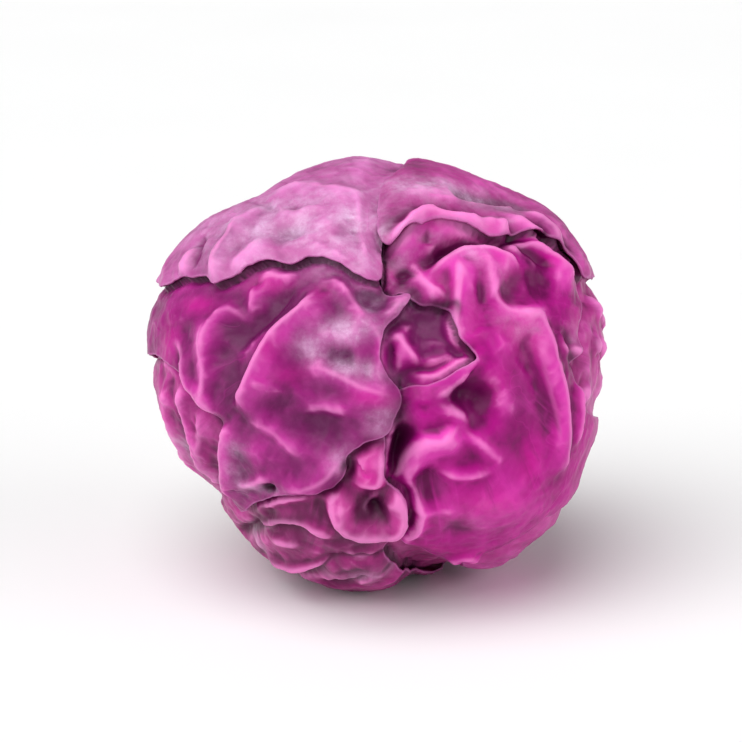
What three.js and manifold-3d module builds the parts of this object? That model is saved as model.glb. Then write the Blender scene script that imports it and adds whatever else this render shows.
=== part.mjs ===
// A head of red cabbage, lying tipped back on its belly with the cut stalk low behind it.
//
// Eight wrapper leaves spring from the stalk and wrap forward round a heart of packed leaves. Each leaf is a
// thin curved plate. The leaves overlap like roof tiles: every leaf dips under the ones listed before it and
// keeps a small clearance to them.
//
// The head is drawn in its own frame: x to the right, z up and y away from the viewer, who looks at the face
// where the leaf margins meet. It is then tipped back by TIP_DEG and set down on a flat spot. Lengths are
// millimetres. Points (u, v) are hundredths of the half width, right of and above the head's centre.
import * as THREE from "three";
import { TessellateModifier } from "three/addons/modifiers/TessellateModifier.js";
import { mergeVertices } from "three/addons/utils/BufferGeometryUtils.js";
import Module from "manifold-3d";

// Driving dimensions.
const HALF_WIDTH = 80;
const FRONT_DEPTH = 0.95 * HALF_WIDTH;
const BACK_DEPTH = 0.93 * HALF_WIDTH;
const TIP_DEG = 15;
const REST_HEIGHT = 0.87 * HALF_WIDTH; // from the flat spot to the head's centre
const LEAF_THICKNESS = 1.6;
const LAYER_PITCH = 2.5; // from one leaf's outer face to that of the leaf below
const TUCK_REACH = [12, 46]; // how far outside a margin the leaf below is still tucked, and is free again
const FLAT_REACH = [10, 22]; // the same, for leaves flattened against the resting surface
const STALK_RADIUS = 14;
const STALK_PROUD = 10; // the stalk's length outside the head
const STALK_BURIED = 34;
const STALK_FOOT = 0.86; // the radius of its buried end, as a share of STALK_RADIUS
const STALK_CHAMFER = [1.2, 2]; // in from the side, and down from the cut face
const STALK_AT = [-5, -32];
const SOCKET_CLEARANCE = 0.4;
const PROJECTION_DISTANCE = 8.8 * HALF_WIDTH; // where front points are projected from, in front of the centre
const SAMPLES_PER_MARGIN_POINT = 2;
const CUTTER_CELL = 0.3; // radians
const CUTTER_SPAN = [0.2 * HALF_WIDTH, 1.5 * HALF_WIDTH]; // its inner and outer radius
const SAMPLE_DETAIL = 9;
const STALK_SIDES = 24;

const UNIT = HALF_WIDTH / 100;
const TIP = THREE.MathUtils.degToRad(TIP_DEG);

// The head's outline from the front: its radius every 20 degrees, anticlockwise from the right.
const OUTLINE = [99, 104, 103, 96, 95, 94, 94, 100, 104, 101, 93, 89, 93, 93, 91, 94, 101, 98];

const front = (...points) => points.map(([u, v]) => ({ u, v, back: false }));
const back = (...points) => points.map(([u, v]) => ({ u, v, back: true }));

// The wrapper leaves, outermost first. Each margin runs round the leaf and back past its foot at the stalk.
// hub is near the middle of the leaf, where its margin is laid out flat.
const LEAVES = [
  {
    name: "shoulder_leaf",
    color: 0x9c4a80,
    hub: front([52, 78])[0],
    margin: [
      ...front([-1, 62], [0, 74], [1, 82], [6, 88], [12, 94]),
      ...back([15, 75], [12, 48], [6, 18], [5, -10], [13, -15], [18, -24]),
      ...back([42, 0], [66, 20], [86, 36]),
      ...front([91, 41], [87, 48], [82, 53], [76, 56], [70, 59], [63, 60], [57, 59], [50, 56]),
      ...front([42, 58], [33, 61], [26, 63], [18, 62], [10, 58], [4, 54], [1, 57]),
    ],
  },
  {
    name: "crown_leaf",
    color: 0xc07fae,
    hub: front([-32, 86])[0],
    margin: [
      ...front([-95, 37], [-86, 42], [-79, 41], [-73, 42], [-71, 37], [-66, 40], [-57, 42]),
      ...front([-52, 46], [-46, 49], [-41, 47], [-36, 48], [-30, 51], [-23, 50], [-16, 47]),
      ...front([-9, 43], [-4, 41], [1, 41], [2, 47], [1, 55], [3, 64], [10, 76], [20, 86], [30, 90]),
      ...back([42, 74], [44, 48], [32, 18], [14, -4], [3, -9], [-7, -8], [-15, -10]),
      ...back([-36, 4], [-66, 22], [-86, 34]),
    ],
  },
  {
    name: "front_left_leaf",
    color: 0xa03c85,
    hub: front([-47, 4])[0],
    margin: [
      ...front([-92, 48], [-84, 56], [-60, 62], [-35, 65], [-12, 60], [-3, 51], [0, 42], [3, 35]),
      ...front([9, 36], [16, 37], [14, 31], [8, 25], [3, 20], [1, 12], [1, 4], [4, -2], [9, -7]),
      ...front([11, -11], [8, -17], [6, -23], [3, -28], [-4, -29], [-9, -33], [-15, -35]),
      ...front([-13, -41], [-17, -47], [-26, -51], [-35, -52], [-43, -52], [-50, -55], [-56, -58]),
      ...front([-61, -61], [-65, -54], [-68, -44], [-68, -33], [-66, -22], [-74, -15], [-81, -8]),
      ...front([-86, -1], [-93, 4], [-99, 8]),
      ...back([-84, 2], [-58, -10], [-32, -27], [-27, -22], [-20, -13], [-50, 8], [-82, 30]),
    ],
  },
  {
    name: "belly_leaf",
    color: 0x97447a,
    hub: front([-20, -76])[0],
    margin: [
      ...front([-64, -46], [-46, -38], [-26, -32], [-8, -22], [2, -23], [3, -32], [2, -44], [5, -49]),
      ...front([10, -50], [12, -57], [12, -65], [9, -71], [4, -74], [2, -79], [6, -84]),
      ...back([34, -74], [36, -62], [26, -53], [10, -51], [-7, -54], [-20, -51]),
      ...back([-26, -44], [-45, -50]),
      ...front([-70, -56]),
    ],
  },
  {
    name: "right_leaf",
    color: 0xc23a96,
    hub: front([44, -14])[0],
    margin: [
      ...front([2, 60], [1, 50], [2, 39], [6, 37], [10, 40], [15, 37], [19, 33], [25, 30], [32, 28]),
      ...front([33, 20], [37, 12], [43, 6], [36, 3]),
      ...front([29, -3], [22, -6], [14, -6], [6, -10], [0, -18], [-3, -30], [-1, -45], [1, -60]),
      ...front([5, -72], [12, -76], [20, -80], [28, -83], [37, -83], [43, -80], [50, -76]),
      ...front([58, -73], [66, -67], [74, -62], [82, -56]),
      ...back([76, -46], [44, -46], [13, -49], [17, -42], [19, -36], [46, -26], [76, -18]),
      ...front([91, -18], [87, -8], [84, 1], [88, 9], [88, 18], [91, 28], [91, 38], [88, 46]),
      ...front([83, 55], [75, 63], [60, 68], [40, 69], [20, 68], [8, 66]),
    ],
  },
  {
    name: "right_side_leaf",
    color: 0xa84a86,
    hub: front([91, -6])[0],
    margin: [
      ...front([88, 50], [76, 58], [60, 50], [52, 20], [52, -10], [50, -40], [42, -60], [32, -74]),
      ...back([26, -80], [20, -68], [20, -56], [17, -40], [19, -30], [16, -19], [44, 12], [74, 38]),
    ],
  },
  {
    name: "left_side_leaf",
    color: 0xa5468a,
    hub: front([-88, -14])[0],
    margin: [
      ...front([-94, 40], [-80, 42], [-64, 24], [-54, 0], [-50, -24], [-46, -44], [-42, -62]),
      ...front([-50, -78]),
      ...back([-44, -66], [-25, -46], [-29, -38], [-29, -28], [-58, 2], [-84, 32]),
    ],
  },
  {
    name: "keel_leaf",
    color: 0x8f3f74,
    hub: front([0, -92])[0],
    margin: [
      ...front([-54, -76], [-46, -66], [-28, -58], [-8, -55], [12, -57], [32, -61], [50, -68]),
      ...front([58, -76]),
      ...back([46, -72], [18, -54], [7, -54], [-5, -57], [-17, -53], [-42, -66]),
    ],
  },
];
const HEART_COLOR = 0x8a3070;
const STALK_COLOR = 0xcfc7a4;

// A value from a ring of evenly spaced ones, on a smooth closed curve.
function ringValue(ring, turn) {
  const at = (((turn % 1) + 1) % 1) * ring.length;
  const i = Math.floor(at);
  const t = at - i;
  const [a, b, c, d] = [-1, 0, 1, 2].map((k) => ring[(i + k + ring.length) % ring.length]);
  return b + 0.5 * t * (c - a + t * (2 * a - 5 * b + 4 * c - d + t * (3 * (b - c) + d - a)));
}

// The distance from the head's centre to its skin in a direction.
function skinRadius(direction) {
  const { x, y, z } = direction;
  const across = ringValue(OUTLINE, Math.atan2(z, x) / (2 * Math.PI)) * UNIT;
  const deep = y < 0 ? FRONT_DEPTH : BACK_DEPTH;
  return 1 / Math.hypot(Math.hypot(x, z) / across, y / deep);
}

const outside = (point) => point.length() / skinRadius(point.clone().normalize()) - 1;

// The direction of the skin point at (u, v), projected from in front or, on the back, straight from behind.
function directionOf({ u, v, back: behind }) {
  const on = new THREE.Vector3(u * UNIT, 0, v * UNIT);
  const eye = behind
    ? new THREE.Vector3(on.x, 3 * HALF_WIDTH, on.z)
    : new THREE.Vector3(0, -PROJECTION_DISTANCE, 0);
  const ray = on.clone().sub(eye);
  const at = (t) => eye.clone().addScaledVector(ray, t);
  let nearest = 0;
  for (let t = 0.5; t <= 1.2; t += 0.002) if (outside(at(t)) < outside(at(nearest))) nearest = t;
  if (outside(at(nearest)) >= 0) return at(nearest).normalize();
  let [low, high] = [0, nearest];
  for (let step = 0; step < 40; step++) {
    const middle = (low + high) / 2;
    if (outside(at(middle)) > 0) low = middle;
    else high = middle;
  }
  return at(high).normalize();
}

// A flat chart of the sphere of directions round a hub, true to angle and distance from the hub.
class Chart {
  constructor(hub) {
    this.hub = hub;
    this.east = new THREE.Vector3(0, 0, 1).cross(hub).normalize();
    this.north = hub.clone().cross(this.east);
  }
  flat(direction) {
    const angle = this.hub.angleTo(direction);
    const [e, n] = [direction.dot(this.east), direction.dot(this.north)];
    return new THREE.Vector2(e, n).normalize().multiplyScalar(angle);
  }
  direction(point) {
    const angle = point.length();
    if (angle < 1e-9) return this.hub.clone();
    return this.hub
      .clone()
      .multiplyScalar(Math.cos(angle))
      .addScaledVector(this.east, (Math.sin(angle) * point.x) / angle)
      .addScaledVector(this.north, (Math.sin(angle) * point.y) / angle);
  }
}

// A leaf's margin as a closed smooth curve on its chart, and the distance of any direction from it.
class Leaf {
  constructor(plan) {
    Object.assign(this, plan);
    this.chart = new Chart(directionOf(plan.hub));
    const flats = plan.margin.map((p) => this.chart.flat(directionOf(p)));
    const curve = new THREE.CatmullRomCurve3(
      flats.map((p) => new THREE.Vector3(p.x, p.y, 0)),
      true,
      "centripetal",
    );
    this.rim = curve
      .getPoints(flats.length * SAMPLES_PER_MARGIN_POINT)
      .slice(0, -1)
      .map((p) => new THREE.Vector2(p.x, p.y));
    if (THREE.ShapeUtils.area(this.rim) < 0) this.rim.reverse();
    this.rimDirections = this.rim.map((p) => this.chart.direction(p));
  }
  contains(direction) {
    const { x, y } = this.chart.flat(direction);
    const crossings = this.rim.filter((a, i) => {
      const b = this.rim[(i + 1) % this.rim.length];
      return a.y > y !== b.y > y && x < a.x + ((y - a.y) / (b.y - a.y)) * (b.x - a.x);
    });
    return crossings.length % 2 === 1;
  }
  // The distance outside the margin in millimetres, negative inside.
  beyond(direction) {
    const nearest = Math.min(
      ...this.rimDirections.map((a, i) => {
        const b = this.rimDirections[(i + 1) % this.rimDirections.length];
        const side = b.clone().sub(a);
        const t = direction.clone().sub(a).dot(side) / side.lengthSq();
        return direction.distanceTo(side.multiplyScalar(Math.min(1, Math.max(0, t))).add(a));
      }),
    );
    return (this.contains(direction) ? -1 : 1) * nearest * HALF_WIDTH;
  }
}

const leaves = LEAVES.map((plan) => new Leaf(plan));
const cover = (leaf, direction, [full, none]) =>
  1 - THREE.MathUtils.smoothstep(leaf.beyond(direction), full, none);
const sum = (values) => values.reduce((a, b) => a + b, 0);
const tipped = (point) => point.applyAxisAngle(new THREE.Vector3(1, 0, 0), -TIP);

// The directions in which every layer is sampled. As the layers share them, they stay clear of each other.
function sampleBall() {
  const ball = new THREE.IcosahedronGeometry(1, SAMPLE_DETAIL);
  ball.deleteAttribute("normal");
  ball.deleteAttribute("uv");
  return mergeVertices(ball, 1e-5);
}

// The closed surface a depth below the outer face of the layer under some leaves, flat where it rests.
function layerBall(above, depth) {
  const ball = sampleBall();
  const position = ball.attributes.position;
  for (let i = 0; i < position.count; i++) {
    const direction = new THREE.Vector3().fromBufferAttribute(position, i).normalize();
    const tuck = sum(above.map((leaf) => cover(leaf, direction, TUCK_REACH)));
    const press = sum(above.map((leaf) => cover(leaf, direction, FLAT_REACH)));
    const round = skinRadius(direction) - LAYER_PITCH * tuck - depth;
    const point = tipped(direction.clone());
    const flat = (REST_HEIGHT - LAYER_PITCH * press - depth) / Math.max(-point.z, 0.1);
    point.multiplyScalar(Math.min(round, flat));
    position.setXYZ(i, point.x, point.y, point.z);
  }
  return solidOf(ball);
}

// A flared plug through the head whose side walls stand on the leaf's margin.
function marginCutter(leaf) {
  const slab = { depth: CUTTER_CELL / 2, bevelEnabled: false };
  const block = new THREE.ExtrudeGeometry(new THREE.Shape(leaf.rim), slab);
  const cutter = new TessellateModifier(CUTTER_CELL, 12).modify(block);
  const position = cutter.attributes.position;
  for (let i = 0; i < position.count; i++) {
    const flat = new THREE.Vector2(position.getX(i), position.getY(i));
    const radius = CUTTER_SPAN[position.getZ(i) > 0 ? 1 : 0];
    const point = tipped(leaf.chart.direction(flat).multiplyScalar(radius));
    position.setXYZ(i, point.x, point.y, point.z);
  }
  return cutter;
}

const wasm = await Module();
wasm.setup();

function solidOf(geometry) {
  const bare = geometry.clone();
  bare.deleteAttribute("normal");
  bare.deleteAttribute("uv");
  const merged = mergeVertices(bare, 1e-4);
  return new wasm.Manifold(
    new wasm.Mesh({
      numProp: 3,
      vertProperties: merged.attributes.position.array,
      triVerts: new Uint32Array(merged.index.array),
    }),
  );
}

function geometryOf(solid) {
  const { vertProperties, triVerts } = solid.getMesh();
  const geometry = new THREE.BufferGeometry();
  geometry.setAttribute("position", new THREE.BufferAttribute(vertProperties, 3));
  geometry.setIndex(new THREE.BufferAttribute(triVerts, 1));
  geometry.computeVertexNormals();
  return geometry;
}

function named(name, geometry, color, roughness) {
  const material = new THREE.MeshStandardMaterial({ color, roughness, metalness: 0 });
  const mesh = new THREE.Mesh(geometry, material);
  mesh.name = name;
  return mesh;
}

// The cut stalk: a short slightly tapered cylinder along the head's axis, its foot buried in the heart.
const stalkDirection = directionOf({ u: STALK_AT[0], v: STALK_AT[1], back: true });
function stalk(clearance) {
  const outerEnd = skinRadius(stalkDirection) + STALK_PROUD;
  const length = STALK_BURIED + STALK_PROUD + clearance;
  const radius = STALK_RADIUS + clearance;
  const profile = [
    [0, 0],
    [STALK_FOOT * STALK_RADIUS + clearance, 0],
    [radius, length / 2],
    [radius, length - STALK_CHAMFER[1]],
    [radius - STALK_CHAMFER[0], length],
    [0, length],
  ];
  const lathe = new THREE.LatheGeometry(profile.map(([r, h]) => new THREE.Vector2(r, h)), STALK_SIDES);
  const axis = tipped(stalkDirection.clone());
  lathe.applyQuaternion(new THREE.Quaternion().setFromUnitVectors(new THREE.Vector3(0, 1, 0), axis));
  const foot = axis.clone().multiplyScalar(outerEnd - STALK_BURIED - STALK_PROUD - clearance);
  return lathe.translate(foot.x, foot.y, foot.z);
}

// A wrapper leaf: a shell one leaf thick, trimmed to the margin.
function leafBody(leaf, above) {
  const shell = layerBall(above, 0).subtract(layerBall(above, LEAF_THICKNESS));
  return shell.intersect(solidOf(marginCutter(leaf)));
}

// The heart: the packed inner leaves as one body under all the wrapper leaves, with a socket for the stalk.
const heartBody = () => layerBall(leaves, 0).subtract(solidOf(stalk(SOCKET_CLEARANCE)));

const head = new THREE.Group();
leaves.forEach((leaf, i) => {
  const solid = leafBody(leaf, leaves.slice(0, i));
  head.add(named(leaf.name, geometryOf(solid), leaf.color, 0.45));
});
head.add(named("heart", geometryOf(heartBody()), HEART_COLOR, 0.5));
head.add(named("cut_stalk", stalk(0), STALK_COLOR, 0.8));

// The part's origin is under the middle of the head, on the resting surface.
const box = new THREE.Box3().setFromObject(head);
const middle = box.getCenter(new THREE.Vector3());
head.position.set(-middle.x, -middle.y, -box.min.z);

const cabbage = new THREE.Group();
cabbage.add(head);

export default cabbage;
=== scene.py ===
"""A head of red cabbage: crumpled wrapper leaves, the heart and the cut stalk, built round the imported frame.

The leaves are sheets on one shared grid of directions from the head's centre. The frame's solids give the
head's skin and each leaf's margin. Folds, lumps and noise then shape the sheets. Every leaf follows the leaf
that covers it, which keeps most of them in order, though some still cross in small places. Lengths are
millimetres in the head's own frame (x right, y away, z up as the face is seen) until the meshes are made.
Points (u, v) are hundredths of the half width, right of and above the head's centre, as seen from the eye.
"""

import math
from collections import namedtuple

import bmesh
import bpy
import numpy as np
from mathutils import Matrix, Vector, noise
from mathutils.bvhtree import BVHTree


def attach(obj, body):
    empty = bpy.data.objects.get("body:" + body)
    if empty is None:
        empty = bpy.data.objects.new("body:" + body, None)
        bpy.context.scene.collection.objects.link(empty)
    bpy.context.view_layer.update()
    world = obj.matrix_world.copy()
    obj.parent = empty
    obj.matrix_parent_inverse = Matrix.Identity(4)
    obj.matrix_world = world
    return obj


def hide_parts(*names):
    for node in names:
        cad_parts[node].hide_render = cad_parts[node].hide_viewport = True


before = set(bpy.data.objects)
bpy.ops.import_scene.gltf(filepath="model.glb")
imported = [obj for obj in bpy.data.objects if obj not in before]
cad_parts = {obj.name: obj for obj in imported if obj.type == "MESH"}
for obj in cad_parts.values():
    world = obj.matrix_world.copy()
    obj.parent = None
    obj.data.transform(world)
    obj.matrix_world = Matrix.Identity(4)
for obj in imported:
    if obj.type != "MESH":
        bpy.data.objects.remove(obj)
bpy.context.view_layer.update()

# The head's frame, as in the CAD.
MM = 0.001
HALF_WIDTH = 80.0
UNIT = HALF_WIDTH / 100
TIP = math.radians(15)
CENTRE = np.array([1.39, -0.23, 69.6])
EYE_DISTANCE = 8.8 * HALF_WIDTH
FRONT = np.array([0.0, -1.0, 0.0])

# How far the solids' margins are widened and raised, to lie where the face shows them.
MARGIN_STRETCH = np.array([1.04, 1.0, 1.04])
MARGIN_RISE = np.array([0.0, 0.0, 1.0])

# The grid of directions, finer towards the front. Smoothing rounds go with the grid's fineness.
GRID_CUTS = 23
ROUNDS_PER_MM2 = 4 / 0.9 ** 2
FRONT_BIAS = 0.3

# How the leaves lie. TUCK is how far outside a margin the leaf below is still sunk, and is free again.
# FOLLOW is the same for the shape that it takes from the leaf above. Tight margins reach further.
LAYER_PITCH = 2.0
SHEET = 1.3
MARGIN_SHEET = 0.7
THINNING = 5.0  # how far inside the margin a sheet has its full thickness
TUCK = (0.4, 12.0)
FOLLOW = (0.4, 4.5)
TIGHT_TUCK = 32.0
TIGHT_FOLLOW = 18.0
FLUTTER = (0.9, 9.0, 5.0)  # how far a margin waves, how long its waves are, and how far in they reach
RAGGED = [(0.45, 4.0, 0), (0.5, 13.0, 50)]  # how far a margin strays, how long its waves are, and their seed
GROOVE = (1.6, 1.8)  # depth and reach of the groove that a loose margin leaves in the leaf below
MARGIN_SHADE_REACH = 0.8  # reach of the painted shade under a loose margin
DROP = 1.3  # how far a tight margin is pressed down

# Folds: over how far they fade at their ends. The lines along them, painted as a highlight on a crest and as
# shade
# in a crease: half width, and strength for each millimetre of height.
FOLD_END = 8.0
CREST_LINE = (1.1, 0.32)
CREASE_LINE = (0.9, 0.3)

# Height of each leaf's own wrinkles, and the sizes of what they are made of.
WRINKLE = {"shoulder_leaf": 0.3, "crown_leaf": 0.4, "right_leaf": 0.25, "front_left_leaf": 0.35, "heart": 0.3}
PLAIN_WRINKLE = 0.7
DRIFT_SIZE = 26.0
DRIFT = 9.0
WRINKLE_SIZE = 15.0
DIMPLE_SIZE = 6.0
GRAIN_SIZE = 5.0

# Height and half width of the ribs at the back.
MIDRIB = (2.2, 3.2)
SIDE_VEIN = (0.9, 1.6)

# The stalk: its radius at the buried foot, where it is widest and where the cut face starts, as shares of the
# solid's, and its knobs' heights, sizes and seeds.
STALK_FOOT = 0.8
STALK_WIDEST = 0.94
STALK_FACE = 0.84
STALK_KNOBS = (0.9, 7.0, 71)
STALK_GRAIN = (0.35, 2.2, 72)

# The view's width at the head's centre, and its shift as a share of that. Then the floor, the world's glow,
# and the lamps: the direction that each shines from, its spread in degrees and its strength.
VIEW_WIDTH = 317.77 * UNIT
VIEW_SHIFT = (-0.01011, 0.00539)
SENSOR_WIDTH = 36.0
FLOOR_REACH = 6.0
AMBIENT = 0.24
LAMPS = {
    "top": ((-0.35, -0.45, 1.0), 60, 2.6),
    "right": ((1.0, -0.45, 0.3), 50, 1.3),
    "left": ((-1.0, -0.45, 0.25), 50, 1.1),
}

Fold = namedtuple("Fold", "points height left right lean sharp", defaults=(0.0, 2.0))
Lump = namedtuple("Lump", "centre size turn height", defaults=(0.0, 1.0))

LEAVES = [  # outermost first
    "shoulder_leaf",
    "crown_leaf",
    "front_left_leaf",
    "belly_leaf",
    "right_leaf",
    "right_side_leaf",
    "left_side_leaf",
    "keel_leaf",
]

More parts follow.
